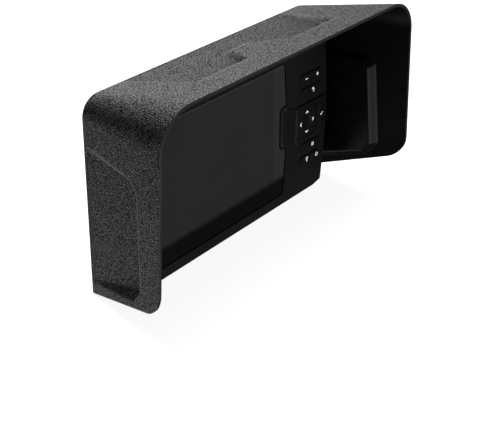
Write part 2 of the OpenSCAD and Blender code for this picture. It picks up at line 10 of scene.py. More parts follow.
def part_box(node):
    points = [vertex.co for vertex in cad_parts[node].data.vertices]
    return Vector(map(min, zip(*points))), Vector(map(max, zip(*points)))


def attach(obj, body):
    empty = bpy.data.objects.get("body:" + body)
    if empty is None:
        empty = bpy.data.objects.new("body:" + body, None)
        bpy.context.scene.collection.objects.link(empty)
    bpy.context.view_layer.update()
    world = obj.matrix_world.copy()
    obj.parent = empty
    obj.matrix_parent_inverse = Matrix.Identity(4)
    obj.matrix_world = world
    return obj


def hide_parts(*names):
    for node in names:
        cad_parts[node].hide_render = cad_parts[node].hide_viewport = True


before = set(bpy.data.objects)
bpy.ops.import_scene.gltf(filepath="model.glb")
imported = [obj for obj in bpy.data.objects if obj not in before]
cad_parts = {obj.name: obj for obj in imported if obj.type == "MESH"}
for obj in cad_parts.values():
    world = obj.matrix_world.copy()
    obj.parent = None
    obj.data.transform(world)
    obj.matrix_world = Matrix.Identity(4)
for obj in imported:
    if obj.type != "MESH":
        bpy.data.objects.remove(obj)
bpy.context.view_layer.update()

MM = 0.001

# The face's centre, from which every part is drawn: X right, Y back into the case, Z up.
# The glass lies a little behind the face.
GLASS_SETBACK = 0.3
HALF_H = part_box("front_bezel")[1].z / 2
FACE_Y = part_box("cover_glass")[0].y - GLASS_SETBACK * MM


def at(x, y, z):
    """A point given in millimetres from the face's centre, in the frame's metres."""
    return Vector((x * MM, FACE_Y + y * MM, HALF_H + z * MM))


# ---------- Visor dimensions, in millimetres from the face's centre ----------

# The sheet's thickness, how far the mouth stands in front of the face, and the back's depth
SHEET = 2.5
REACH = 64
BACK_Y = 32.3

# Half-width at the top and at the bottom, height of the top and of the feet, and corner radius
MOUTH_TOP, MOUTH_LOW, MOUTH_Z, MOUTH_FOOT_Z, MOUTH_R = 146.5, 157.5, 110.5, -36.5, 30
BACK_TOP, BACK_LOW, BACK_Z, BACK_FOOT_Z, BACK_R = 129, 135, 89.5, -70.5, 16

# Radius of the side panels' lower front corner, and of the fold into the back
FOOT_CORNER_R = 24
FOLD_R = 5.0

# The back's cut-out: half-width, height of its top edge, and corner radius
LIP_HALF_W, LIP_TOP_Z, LIP_R = 110, 57.3, 12

# Pockets pressed into the sides, as [y, z], and into the top, as [x, y]
SIDE_POCKET = [(60, 55), (-28, 50), (-34, 45), (-38, -29), (-30, -40), (60, -67)]
TOP_POCKET = [(96, 60), (79, -33), (28, -33), (12, -3), (-12, -3), (-28, -33), (-79, -33), (-96, 60)]

# Their full depths, the run from the back over which they reach them, and their walls' width
SIDE_POCKET_DEPTH, TOP_POCKET_DEPTH = 8, 6
POCKET_RUN = 67
POCKET_WALL = 4.5

# How far outside a pocket's outline the crest of its wall lies, the width of the painted highlight along
# the crest, the run in front of the back over which it dies out, and the half-width outside which the
# corners begin
CREST_OFFSET, CREST_HIGHLIGHT_WIDTH, CREST_HIGHLIGHT_RUN = 1.6, 1.1, 40
FLAT_TOP = 115

# Mesh columns along each side panel, round each corner and across the top
SIDE_COUNT, ARC_COUNT, TOP_COUNT = 90, 16, 130


# ---------- Mesh helpers ----------

def new_object(name, verts, faces, smooth=True):
    """A mesh object from points in metres and faces."""
    mesh = bpy.data.meshes.new(name)
    mesh.from_pydata([tuple(v) for v in verts], [], faces)
    mesh.validate()
    mesh.update()
    obj = bpy.data.objects.new(name, mesh)
    bpy.context.collection.objects.link(obj)
    if smooth:
        mesh.polygons.foreach_set("use_smooth", [True] * len(mesh.polygons))
    return obj


def bevel_edges(obj, name, width, angle):
    """Adds a bevel of a width in millimetres to the edges sharper than an angle in degrees."""
    bevel = obj.modifiers.new(name, "BEVEL")
    bevel.width = width * MM
    bevel.segments = 2
    bevel.limit_method = "ANGLE"
    bevel.angle_limit = math.radians(angle)


def smoothstep(t):
    """A soft step from 0 to 1."""
    t = np.clip(t, 0, 1)
    return t * t * (3 - 2 * t)


def path_distance(px, py, path):
    """Distance from points to a line of segments."""
    best = np.full(px.shape, 1e9)
    for (ax, ay), (bx, by) in zip(path, path[1:]):
        ex, ey = bx - ax, by - ay
        t = np.clip(((px - ax) * ex + (py - ay) * ey) / (ex * ex + ey * ey), 0, 1)
        best = np.minimum(best, np.hypot(px - ax - t * ex, py - ay - t * ey))
    return best


def polygon_distance(px, py, outline):
    """Signed distance from points to a closed outline, positive inside."""
    closed = outline + outline[:1]
    inside = np.zeros(px.shape, bool)
    for (ax, ay), (bx, by) in zip(closed, closed[1:]):
        if ay != by:
            crosses = (ay > py) != (by > py)
            inside ^= crosses & (px < (bx - ax) * (py - ay) / (by - ay) + ax)
    return np.where(inside, 1, -1) * path_distance(px, py, closed)


# ---------- Visor ----------

def mirrored(right):
    """The points of a right half, foot to middle, joined to their mirror image, from foot to foot."""
    return np.vstack([right[:-1] * [-1, 1], right[::-1]])


def visor_section(y):
    """The visor's outer cross-section at depth y from foot to foot, and its outward normals, as [x, z]."""
    foot_z = foot_height(y)
    f = (BACK_Y - y) / (BACK_Y + REACH)
    top_w = BACK_TOP + (MOUTH_TOP - BACK_TOP) * f
    top_z = BACK_Z + (MOUTH_Z - BACK_Z) * f
    low_w = BACK_LOW + (MOUTH_LOW - BACK_LOW) * f
    low_z = BACK_FOOT_Z + (MOUTH_FOOT_Z - BACK_FOOT_Z) * f
    r = BACK_R + (MOUTH_R - BACK_R) * f
    lean = math.atan2(low_w - top_w, top_z - low_z)
    corner_x = top_w - r / math.tan((math.pi / 2 + lean) / 2)
    corner_z = top_z - r
    side = np.array([math.cos(lean), math.sin(lean)])
    side_top = np.array([corner_x, corner_z]) + r * side
    foot = np.array([low_w + (low_w - top_w) / (top_z - low_z) * (low_z - foot_z), foot_z])
    points, normals = [], []
    for i in range(SIDE_COUNT):
        points.append(foot + (side_top - foot) * i / SIDE_COUNT)
        normals.append(side)
    for i in range(ARC_COUNT + 1):
        a = lean + (math.pi / 2 - lean) * i / ARC_COUNT
        outward = np.array([math.cos(a), math.sin(a)])
        points.append(np.array([corner_x, corner_z]) + r * outward)
        normals.append(outward)
    half = TOP_COUNT // 2
    for i in range(1, half + 1):
        points.append(np.array([corner_x * (1 - i / half), top_z]))
        normals.append(np.array([0.0, 1.0]))
    return mirrored(np.array(points)), mirrored(np.array(normals))


def foot_height(y):
    """Height of the side panels' slanted lower edge, with its round front corner."""
    slope = (MOUTH_FOOT_Z - BACK_FOOT_Z) / (REACH + BACK_Y)
    corner_y = -REACH + FOOT_CORNER_R
    lean = math.sqrt(1 + slope * slope)
    corner_z = MOUTH_FOOT_Z - slope * FOOT_CORNER_R + FOOT_CORNER_R * lean
    tangent_y = corner_y - slope * FOOT_CORNER_R / lean
    if y >= tangent_y:
        return MOUTH_FOOT_Z - slope * (y + REACH)
    return corner_z - math.sqrt(max(0, FOOT_CORNER_R ** 2 - (y - corner_y) ** 2))


def visor_rows():
    """Depths of the mesh rows, closest at the mouth and at the pockets' front walls."""
    walls_from, walls_to = -51, -27
    corner_rows, wall_rows, plain_rows = 14, 44, 30
    # Rows at even angles round the feet's corners, as far as the walls' own rows begin
    tip = []
    for i in range(10):
        a = math.pi / 2 * i / corner_rows
        tip.append(-REACH + FOOT_CORNER_R * (1 - math.cos(a)))
    walls = np.linspace(walls_from, walls_to, wall_rows)
    plain = np.linspace(walls_to, BACK_Y - FOLD_R, plain_rows)[1:]
    return tip + list(walls) + list(plain)


def pocket_depth(x, y, z, side_like):
    """How far the sheet is pressed in at a point of the outside, smooth at the pockets' walls."""
    side_d = polygon_distance(y, z, SIDE_POCKET)
    top_d = polygon_distance(x, y, TOP_POCKET)
    ramp = np.clip((BACK_Y - y) / POCKET_RUN, 0, 1)
    side = SIDE_POCKET_DEPTH * ramp * smoothstep(0.5 + side_d / POCKET_WALL)
    top = TOP_POCKET_DEPTH * ramp * smoothstep(0.5 + top_d / POCKET_WALL)
    return np.where(side_like, side, top)


def crest_highlight_strength(points):
    """How close points of the outside are to the crest of a pocket's front or upper wall, 0 to 1: the
    strength of a painted highlight along it.
    """
    x, y, z = points[:, 0], points[:, 1], points[:, 2]
    upper = [(a, b + CREST_OFFSET) for a, b in SIDE_POCKET[:2]]
    front = [(a - CREST_OFFSET, b) for a, b in SIDE_POCKET[2:4]]
    side = path_distance(y, z, upper + front)
    (back_x, back_y), (front_x, front_y), (inner_x, inner_y), (notch_x, notch_y) = TOP_POCKET[:4]
    outer_edge = [(back_x + CREST_OFFSET, back_y), (front_x, front_y - CREST_OFFSET)]
    top = path_distance(np.abs(x), y, outer_edge + [(inner_x, inner_y - CREST_OFFSET)])
    notch = path_distance(np.abs(x), y, [(0, notch_y - CREST_OFFSET), (notch_x, notch_y - CREST_OFFSET)])
    off = np.where(np.abs(x) > FLAT_TOP, side, np.minimum(top, notch))
    fade = np.clip((BACK_Y - y) / CREST_HIGHLIGHT_RUN, 0, 1)
    return np.exp(-(off / CREST_HIGHLIGHT_WIDTH) ** 2) * fade


def visor_skin(offset):
    """Grid of points of the visor's outer skin, moved in by offset: body, fold and back."""
    rows = []
    for y in visor_rows():
        xz, n = visor_section(y)
        depths = np.full(len(xz), y)
        # Where the skin faces more sideways than up
        side_like = np.abs(n[:, 0]) > 0.7
        pressed = pocket_depth(xz[:, 0], depths, xz[:, 1], side_like)
        p = xz - n * (pressed + offset)[:, None]
        rows.append(np.column_stack([p[:, 0], depths, p[:, 1]]))
    fold_rows, back_rows = 6, 5
    r = FOLD_R - offset
    for i in range(1, fold_rows + 1):
        a = math.pi / 2 * i / fold_rows
        y = BACK_Y - FOLD_R + r * math.sin(a)
        xz, n = visor_section(y)
        p = xz - n * (FOLD_R - r * math.cos(a))
        rows.append(np.column_stack([p[:, 0], np.full(len(p), y), p[:, 1]]))
    folded = rows[-1]
    lip = lip_outline(foot_height(BACK_Y))
    edge = np.column_stack([lip[:, 0], folded[:, 1], lip[:, 1]])
    for i in range(1, back_rows + 1):
        t = i / back_rows
        rows.append(folded * (1 - t) + edge * t)
    return np.array(rows)


def lip_outline(foot_z):
    """The cut-out in the visor's back, point for point with a cross-section, as [x, z]."""
    corner_x, corner_z = LIP_HALF_W - LIP_R, LIP_TOP_Z - LIP_R
    points = []
    for i in range(SIDE_COUNT):
        points.append((LIP_HALF_W, foot_z + (corner_z - foot_z) * i / SIDE_COUNT))
    for i in range(ARC_COUNT + 1):
        a = math.pi / 2 * i / ARC_COUNT
        points.append((corner_x + LIP_R * math.cos(a), corner_z + LIP_R * math.sin(a)))
    half = TOP_COUNT // 2
    for i in range(1, half + 1):
        points.append((corner_x * (1 - i / half), LIP_TOP_Z))
    return mirrored(np.array(points))


def make_visor():
    """One formed sheet: an outer and an inner skin joined round the cut edges."""
    outer = visor_skin(0.0)
    inner = visor_skin(SHEET)
    n_rows, n_cols = outer.shape[:2]
    verts = [at(*p) for p in outer.reshape(-1, 3)] + [at(*p) for p in inner.reshape(-1, 3)]
    inside = n_rows * n_cols
    faces, slots = [], []
    outer_slot, inner_slot, edge_slot = range(3)

    def quad(corners, slot):
        faces.append(corners)
        slots.append(slot)

    def edge_quad(a, b):
        """Joins two neighbouring points of the outer skin to those under them."""
        quad((a, b, inside + b, inside + a), edge_slot)

    for row in range(n_rows - 1):
        for column in range(n_cols - 1):
            a = row * n_cols + column
            b, c, d = a + 1, a + 1 + n_cols, a + n_cols
            quad((a, b, c, d), outer_slot)
            quad((inside + a, inside + d, inside + c, inside + b), inner_slot)
    last_row = inside - n_cols
    for column in range(n_cols - 1):
        edge_quad(column + 1, column)
        edge_quad(last_row + column, last_row + column + 1)
    for row in range(n_rows - 1):
        left, right = row * n_cols, row * n_cols + n_cols - 1
        edge_quad(left, left + n_cols)
        edge_quad(right + n_cols, right)
    obj = new_object("visor_formed_sheet", verts, faces)
    obj.data.polygons.foreach_set("material_index", slots)
    # The crests' strengths, stored on the outer skin so that the sheet's material paints a highlight along
    # them
    crest_highlight = np.concatenate([crest_highlight_strength(outer.reshape(-1, 3)), np.zeros(inside)])
    obj.data.attributes.new("crest_highlight", "FLOAT", "POINT").data.foreach_set("value", crest_highlight)
    bevel_edges(obj, "cut_edge", 0.45, 50)
    return obj


# ---------- Keys ----------

# Retaining flanges: depth behind the face, on pressing and on tilting keys, thickness and lap
FLANGE_Y, TILT_FLANGE_Y, FLANGE_T, FLANGE_LAP = 3.25, 3.9, 0.8, 1.0

# Stems: radius, chamfer, distance from the middle of a tilting key, and sink into its flange
STEM_R, STEM_CHAMFER, STEM_OFFSET, STEM_SINK = 1.5, 0.3, 9.0, 0.1

# Caps of the keys and of the pad: corner radius, rounding of the front edge, and height of the dome
KEY_R, KEY_FILLET, KEY_CROWN = 2.0, 0.55, 0.18
PAD_R, PAD_FILLET, PAD_CROWN = 4.5, 0.8, 0.15

# Mesh points round each corner and along each side of a cap, and rings over its rounded edge
CORNER_POINTS, SIDE_POINTS, FILLET_RINGS = 8, 6, 6

# The smallest corner radius, and the least that is left of a cap's straight sides
SMALLEST = 0.05


def millimetres(node):
    """A CAD node's box, as its middle and size across and up, and its front and back depths."""
    low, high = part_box(node)
    middle = (low + high) / 2
    size = high - low
    return (middle.x / MM, (middle.z - HALF_H) / MM, size.x / MM, size.z / MM,
            (low.y - FACE_Y) / MM, (high.y - FACE_Y) / MM)


def rounded_ring(x, z, w, h, r, y):
    """A rectangle with round corners round (x, z) at depth y, counter-clockwise from the right."""
    r = max(min(r, w / 2 - SMALLEST, h / 2 - SMALLEST), SMALLEST)
    ring = []
    across, up = w / 2 - r, h / 2 - r
    centres = [(across, up), (-across, up), (-across, -up), (across, -up)]
    for quarter, (cx, cz) in enumerate(centres):
        for i in range(CORNER_POINTS + 1):
            a = math.pi / 2 * (quarter + i / CORNER_POINTS)
            ring.append((cx + r * math.cos(a), cz + r * math.sin(a)))
        nx, nz = centres[(quarter + 1) % 4]
        a = math.pi / 2 * (quarter + 1)
        start, end = ring[-1], (nx + r * math.cos(a), nz + r * math.sin(a))
        for i in range(1, SIDE_POINTS):
            t = i / SIDE_POINTS
            ring.append((start[0] + (end[0] - start[0]) * t, start[1] + (end[1] - start[1]) * t))
    return np.array([(x + px, y, z + pz) for px, pz in ring])


def round_ring(x, z, r, y, like):
    """A circle at depth y whose points lie in the same directions as those of another ring."""
    d = like[:, [0, 2]] - [x, z]
    d = d / np.linalg.norm(d, axis=1)[:, None]
    return np.column_stack([x + r * d[:, 0], np.full(len(d), y), z + r * d[:, 1]])


def loft_faces(rings, faces, verts):
    """Joins rings with quads, closes both ends, and adds them to a mesh's lists."""
    start, n = len(verts), len(rings[0])
    for ring in rings:
        verts.extend(at(*p) for p in ring)
    for k in range(len(rings) - 1):
        for i in range(n):
            a, b = start + k * n + i, start + k * n + (i + 1) % n
            faces.append((a, b, b + n, a + n))
    faces.append(tuple(range(start + n - 1, start - 1, -1)))
    faces.append(tuple(range(start + (len(rings) - 1) * n, start + len(rings) * n)))


def soft_edges(obj):
    """Smooth shading that stays crisp at sharp edges."""
    sharp = math.radians(32)
    bm = bmesh.new()
    bm.from_mesh(obj.data)
    bmesh.ops.recalc_face_normals(bm, faces=bm.faces)
    for face in bm.faces:
        face.smooth = True
    for edge in bm.edges:
        edge.smooth = len(edge.link_faces) == 2 and edge.calc_face_angle(0) < sharp
    bm.to_mesh(obj.data)
    bm.free()
    return obj


def cap_rings(x, z, w, h, r, side_y, front, fillet, crown):
    """A key cap's rings, from the foot of its sides over the rounded edge to its gently domed front."""
    edge = front + crown
    reach = min(w, h) / 2 - fillet
    rings = [rounded_ring(x, z, w, h, r, side_y)]

    def add_ring(inset, y):
        rings.append(rounded_ring(x, z, w - 2 * inset, h - 2 * inset, r - inset, y))

    for i in range(FILLET_RINGS):
        a = math.pi / 2 * i / (FILLET_RINGS - 1)
        add_ring(fillet * (1 - math.cos(a)), edge + fillet * (1 - math.sin(a)))
    # Shares of the way from the rounded edge to the middle
    for t in (0.15, 0.35, 0.6, 0.85):
        add_ring(fillet + reach * t, edge - crown * (1 - (1 - t) ** 2))
    return rings


def stem_rings(x, z, root_y, tip_y, like):
    """A stem's rings, from its chamfered tip back to its root, with points like another ring's."""
    return [round_ring(x, z, STEM_R - STEM_CHAMFER, tip_y, like),
            round_ring(x, z, STEM_R, tip_y - STEM_CHAMFER, like),
            round_ring(x, z, STEM_R, root_y, like)]


def make_tilting_key(node, cap, stems):
    """A key that tilts: its cap's rings, and stems round its middle at angles given in degrees."""
    x, z, _, _, _, back = millimetres(node)
    root_y = TILT_FLANGE_Y + FLANGE_T - STEM_SINK
    verts, faces = [], []
    loft_faces(cap, faces, verts)
    for degrees in stems:
        a = math.radians(degrees)
        stem_x, stem_z = x + STEM_OFFSET * math.cos(a), z + STEM_OFFSET * math.sin(a)
        # A small ring that only gives the stem's points their directions
        like = rounded_ring(stem_x, stem_z, 2, 2, 0.9, root_y)
        loft_faces(stem_rings(stem_x, stem_z, root_y, back, like), faces, verts)
    return soft_edges(new_object(node + "_cap", verts, faces))


def make_press_key(node, cap_w, cap_h):
    """A key that goes straight in: stem, retaining flange and domed cap as one moulding."""
    x, z, w, h, front, back = millimetres(node)
    flange_back = rounded_ring(x, z, w, h, KEY_R + FLANGE_LAP, FLANGE_Y + FLANGE_T)
    rings = stem_rings(x, z, FLANGE_Y + FLANGE_T, back, flange_back)
    rings += [flange_back, rounded_ring(x, z, w, h, KEY_R + FLANGE_LAP, FLANGE_Y)]
    rings += cap_rings(x, z, cap_w, cap_h, KEY_R, FLANGE_Y, front, KEY_FILLET, KEY_CROWN)
    verts, faces = [], []
    loft_faces(rings, faces, verts)
    return soft_edges(new_object(node + "_cap", verts, faces))


def make_zoom_rocker(node):
    """The rocker: a long cap with a shallow valley between its two ends, on two stems."""
    x, z, w, h, front, _ = millimetres(node)
    valley_depth, valley_half_w = 0.28, 2.6
    flange = [rounded_ring(x, z, w, h, KEY_R + FLANGE_LAP, TILT_FLANGE_Y + FLANGE_T),
              rounded_ring(x, z, w, h, KEY_R + FLANGE_LAP, TILT_FLANGE_Y)]
    cap = cap_rings(x, z, w, h - 2 * FLANGE_LAP, KEY_R, TILT_FLANGE_Y, front, KEY_FILLET, KEY_CROWN)
    # The foot of the sides and the start of the rounding stay level
    for ring in cap[2:]:
        ring[:, 1] += valley_depth * np.exp(-((ring[:, 0] - x) / valley_half_w) ** 2)
    return make_tilting_key(node, flange + cap, (180, 0))


def make_direction_pad(node):
    """The pad: a square cap with a round dish in its middle, a pivot socket and four stems behind."""
    x, z, w, h, front, _ = millimetres(node)
    socket_r, socket_floor = 3.3, 3.6
    # The dish begins a little behind the cap's front. It falls from its rim to the edge of its floor,
    # and the floor sinks a little more towards its middle.
    dish_start, dish_depth, floor_depth = 0.1, 0.75, 0.81
    rim_r, floor_r, middle_r = 7.168, 3.2, 1.28
    flange_back = rounded_ring(x, z, w, h, PAD_R, TILT_FLANGE_Y + FLANGE_T)
    cap = cap_rings(x, z, w, h - 2 * FLANGE_LAP, PAD_R, TILT_FLANGE_Y, front, PAD_FILLET, PAD_CROWN)
    rings = [round_ring(x, z, socket_r, socket_floor, flange_back),
             round_ring(x, z, socket_r, TILT_FLANGE_Y + FLANGE_T, flange_back),
             flange_back,
             rounded_ring(x, z, w, h, PAD_R, TILT_FLANGE_Y)]
    # Only the cap's sides, its rounding and the outermost part of its front lie outside the dish
    rings += cap[:8]
    for i in range(9):
        t = i / 8
        r = rim_r - (rim_r - floor_r) * t
        rings.append(round_ring(x, z, r, front + dish_start + dish_depth * smoothstep(t), flange_back))
    rings.append(round_ring(x, z, middle_r, front + dish_start + floor_depth, flange_back))
    return make_tilting_key(node, rings, (0, 90, 180, 270))


# ---------- Printed symbols ----------

# Thickness of the print, how far its face stands in front of a cap's foremost point, and how far
# behind the pad's foremost point it lies, since the pad curves away there
INK_T = 0.06
INK_LIFT = 0.03
PAD_INK_DEPTH = 0.09


def stroke(points, width, closed=False):
    """The outline of a line of even width with square ends, or of a closed loop as two outlines."""
    p = np.array(points, float)
    ahead = np.roll(p, -1, 0) - p
    behind = p - np.roll(p, 1, 0)
    if not closed:
        ahead[-1], behind[0] = behind[-1], ahead[0]
    ahead /= np.linalg.norm(ahead, axis=1)[:, None]
    behind /= np.linalg.norm(behind, axis=1)[:, None]
    direction = ahead + behind
    direction /= np.linalg.norm(direction, axis=1)[:, None]
    side = np.column_stack([-direction[:, 1], direction[:, 0]])
    # A mitred corner is wider than the line, up to a limit
    lean = np.clip(np.abs((side * ahead).sum(1)), 0, 0.9)
    half = (width / 2 / np.sqrt(1 - lean ** 2))[:, None]
    return p + side * half, p - side * half


def arc(x, z, r, start, end):
    """Points along an arc, in degrees."""
    count = 14
    angles = [math.radians(start + (end - start) * i / count) for i in range(count + 1)]
    return [(x + r * math.cos(a), z + r * math.sin(a)) for a in angles]


def make_symbol(name, body, x, z, y, lines, width):
    """A printed symbol: each line is a list of points, closed where it ends as it begins."""
    verts, faces = [], []
    for line in lines:
        closed = line[0] == line[-1] and len(line) > 2
        left, right = stroke(line[:-1] if closed else line, width, closed)
        n, start = len(left), len(verts)
        for depth in (y, y + INK_T):
            verts += [at(x + a, depth, z + b) for a, b in [*left, *right]]
        for i in range(n if closed else n - 1):
            j = (i + 1) % n
            front = (start + i, start + j, start + n + j, start + n + i)
            behind = tuple(v + 2 * n for v in front)
            faces += [front, behind[::-1], (front[1], front[0], behind[0], behind[1]),
                      (front[3], front[2], behind[2], behind[3])]
        if not closed:
            for i in (0, n - 1):
                faces.append((start + i, start + n + i, start + 3 * n + i, start + 2 * n + i))
    obj = soft_edges(new_object(name, verts, faces))
    give(obj, ink_with_painted_glow)
    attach(obj, body)


def chevron(direction):
    """An arrow head that points in a direction given in degrees."""
    half_h = 1.55
    c, s = math.cos(math.radians(direction)), math.sin(math.radians(direction))
    shape = [(-0.55 * half_h, half_h), (0.45 * half_h, 0), (-0.55 * half_h, -half_h)]
    return [(px * c - pz * s, px * s + pz * c) for px, pz in shape]


def make_symbols():
    """Every key's symbol, a hair in front of its cap and off its middle as printed."""
    plus = [[(-1.6, 0), (1.6, 0)], [(0, 0.4), (0, 1.6)], [(0, -0.4), (0, -1.6)]]
    back_arrow = [arc(0.4, -0.35, 1.45, -100, 110), [(0.6, 2.0), (-0.9, 1.05), (0.35, 0.1)]]
    panes = [[(sx - 0.62, sz), (sx + 0.62, sz)] for sx in (-0.85, 0.85) for sz in (-0.85, 0.85)]
    drop = arc(0, 0.75, 1.15, -30, 210) + [(0, -2.1)]
    power = [arc(0, -0.15, 1.5, 125, 415), [(0, 0.35), (0, 1.95)]]
    tick = [(-1.6, 0.1), (-0.45, -1.15), (1.7, 1.45)]
    symbols = [
        # piece, node, offset across and up from the middle of the node, lines, width of a line
        ("minus_symbol", "zoom_rocker", -7.7, 0, [[(-1.7, 0), (1.7, 0)]], 0.8),
        ("plus_symbol", "zoom_rocker", 7.4, 0, plus, 0.8),
        ("back_symbol", "back_key", 1.6, 0.2, back_arrow, 0.7),
        ("menu_symbol", "menu_key", 2.8, 0, panes, 1.24),
        ("mark_symbol", "mark_key", 2.15, 0.5, [drop + drop[:1]], 0.65),
        ("power_symbol", "power_key", 2.35, 0, power, 0.65),
        ("select_symbol", "select_key", 0.5, 0.4, [tick], 0.72),
        ("pad_right_symbol", "direction_pad", 7.9, -0.2, [chevron(0)], 1.0),
        ("pad_up_symbol", "direction_pad", -0.8, 9.1, [chevron(90)], 1.0),
        ("pad_left_symbol", "direction_pad", -9.2, -0.2, [chevron(180)], 1.0),
        ("pad_down_symbol", "direction_pad", -0.8, -9.3, [chevron(270)], 1.0),
    ]
    for piece, node, across, up, lines, width in symbols:
        x, z, _, _, front, _ = millimetres(node)
        y = front + PAD_INK_DEPTH if node == "direction_pad" else front - INK_LIFT
        make_symbol(piece, node, x + across, z + up, y, lines, width)


# ---------- Materials ----------

class Finish:
    """A node material: uniform values sit on the shader, and nodes add what varies over the surface."""

    def __init__(self, name, **uniform):
        self.mat = bpy.data.materials.new(name)
        self.mat.use_nodes = True
        self.tree = self.mat.node_tree
        self.shader = self.tree.nodes["Principled BSDF"]
        for key, value in uniform.items():
            self.shader.inputs[key.replace("_", " ")].default_value = value
        self.place = self.tree.nodes.new("ShaderNodeTexCoord").outputs["Object"]

    def node(self, kind, inputs=None, **settings):
        """Adds a node; inputs are values or sockets by name or number, settings are its properties."""
        n = self.tree.nodes.new(kind)
        for key, value in settings.items():
            setattr(n, key, value)
        for key, value in (inputs or {}).items():
            self.feed(n.inputs[key], value)
        return n

    def feed(self, socket, value):
        """Sets a socket to a value, or links another socket to it."""
        if isinstance(value, bpy.types.NodeSocket):
            self.tree.links.new(value, socket)
        else:
            socket.default_value = value

    def stretched(self, x, y, z):
        """Coordinates multiplied along each axis."""
        return self.node("ShaderNodeMapping", {"Vector": self.place, "Scale": (x, y, z)}).outputs[0]

    def noise(self, size, detail=2.0, rough=0.5, vector=None):
        """Soft noise whose blotches are about the given size in millimetres."""
        return self.node("ShaderNodeTexNoise", {"Vector": vector or self.place, "Scale": 1 / (size * MM),
                                                "Detail": detail, "Roughness": rough}).outputs["Fac"]

    def cells(self, size, feature="F1", vector=None):
        """Distance inside cells of the given size in millimetres."""
        inputs = {"Vector": vector or self.place, "Scale": 1 / (size * MM)}
        return self.node("ShaderNodeTexVoronoi", inputs, feature=feature).outputs["Distance"]

    def span(self, value, low, high, to_low=0.0, to_high=1.0):
        """Maps a range of values to another, clamped."""
        return self.node("ShaderNodeMapRange", {"Value": value, "From Min": low, "From Max": high,
                                                "To Min": to_low, "To Max": to_high}).outputs[0]

    def maths(self, operation, a, b=0.0, c=0.0):
        """A sum, product or other reckoning; MULTIPLY_ADD is a times b plus c."""
        return self.node("ShaderNodeMath", {0: a, 1: b, 2: c}, operation=operation).outputs[0]

    def blend(self, factor, a, b):
        """Mixes two colours."""
        return self.node("ShaderNodeMix", {0: factor, 6: a, 7: b}, data_type="RGBA").outputs[2]

    def relief(self, height, strength, depth):
        """Bump of the given depth in millimetres."""
        bump = self.node("ShaderNodeBump", {"Height": height, "Strength": strength, "Distance": depth * MM})
        self.feed(self.shader.inputs["Normal"], bump.outputs[0])

    def colour(self, value):
        self.feed(self.shader.inputs["Base Color"], value)

    def rough(self, value):
        self.feed(self.shader.inputs["Roughness"], value)


def grey(v, red=1.0, blue=1.0):
    """A grey of brightness v, tinted by multiplying its red and blue."""
    return (v * red, v, v * blue, 1)


def grained_sheet():
    """Outside of the visor: leather-grained black sheet with raised pebbles, painted shade in the valleys,
    and a painted highlight along the pockets' crests.
    """
    f = Finish("visor_grained_black")
    warp = f.node("ShaderNodeTexNoise", {"Vector": f.place, "Scale": 1 / (6 * MM)}).outputs["Color"]
    bent = f.node("ShaderNodeMix", {0: 0.001, 4: f.place, 5: warp}, data_type="VECTOR").outputs[1]
    pebbles = f.span(f.cells(1.6, "DISTANCE_TO_EDGE", bent), 0.03, 0.34)
    small = f.cells(0.8, "SMOOTH_F1", bent)
    height = f.maths("MULTIPLY_ADD", small, -0.5, pebbles)
    height = f.maths("MULTIPLY_ADD", f.noise(0.5, 3.0, 0.6), 0.3, height)
    crest_highlight = f.node("ShaderNodeAttribute", attribute_name="crest_highlight").outputs["Fac"]
    # From 0 in the valleys, painted shade, through 1 on the pebbles' tops, to 1.9 on the pockets' crests, a
    # painted highlight
    tone = f.maths("MULTIPLY_ADD", crest_highlight, 0.9, f.span(height, -0.1, 0.8))
    # Colour and gloss follow it: near black as painted shade in the valleys, lighter as a painted highlight
    # on the crests
    f.colour(f.blend(f.span(tone, 0, 1.9), grey(0.0007), grey(0.024)))
    f.feed(f.shader.inputs["Specular IOR Level"], f.span(tone, 0, 1.9, 0.0, 2.0))
    worn = f.noise(28, 3.0)
    f.rough(f.maths("MULTIPLY_ADD", worn, 0.08, f.span(tone, 0, 1, 0.5, 0.18)))
    f.relief(height, 1.0, 0.2)
    return f.mat


def smooth_sheet():
    """Inside of the visor: the smooth glossy side of the sheet, with faint forming waves."""
    f = Finish("visor_smooth_black", Specular_IOR_Level=0.4)
    waves = f.noise(18, 3.0)
    haze = f.noise(2.0, 4.0)
    f.colour(f.blend(haze, grey(0.0012), grey(0.0026)))
    f.rough(f.span(waves, 0.3, 0.7, 0.26, 0.36))
    f.relief(waves, 0.06, 0.4)
    return f.mat


def moulded(name, tone, rough, grain, depth, specular=0.3):
    """Moulded plastic: fine spark-eroded grain with slow drifts of tone and gloss."""
    f = Finish(name, Specular_IOR_Level=specular)
    slow = f.noise(30, 3.0)
    f.colour(f.blend(slow, grey(tone * 0.8), grey(tone * 1.2)))
    f.rough(f.span(slow, 0.25, 0.75, rough - 0.05, rough + 0.05))
    f.relief(f.maths("ADD", f.noise(grain, 2.0), f.cells(grain * 2)), 0.6, depth)
    return f.mat


def rubber(name, tone, grain=0.5):
    """Soft matt rubber or foam."""
    f = Finish(name, Specular_IOR_Level=0.25)
    bloom = f.noise(6, 4.0, 0.6)
    f.colour(f.blend(bloom, grey(tone * 0.8), grey(tone * 1.3)))
    f.rough(f.span(bloom, 0.3, 0.7, 0.72, 0.88))
    f.relief(f.noise(grain, 3.0), 0.5, 0.05)
    return f.mat


def worked_metal(name, low, high, rough, stretch=(1, 1, 14), size=1.2):
    """Metal with fine lines drawn one way, from rolling, brushing or turning."""
    f = Finish(name, Metallic=1.0)
    lines = f.noise(size, 4.0, 0.6, f.stretched(*stretch))
    stains = f.noise(7, 3.0)
    f.colour(f.blend(f.maths("MULTIPLY_ADD", lines, 0.5, f.maths("MULTIPLY", stains, 0.5)), low, high))
    f.rough(f.span(lines, 0.3, 0.7, rough - 0.08, rough + 0.1))
    f.relief(lines, 0.35, 0.02)
    return f.mat


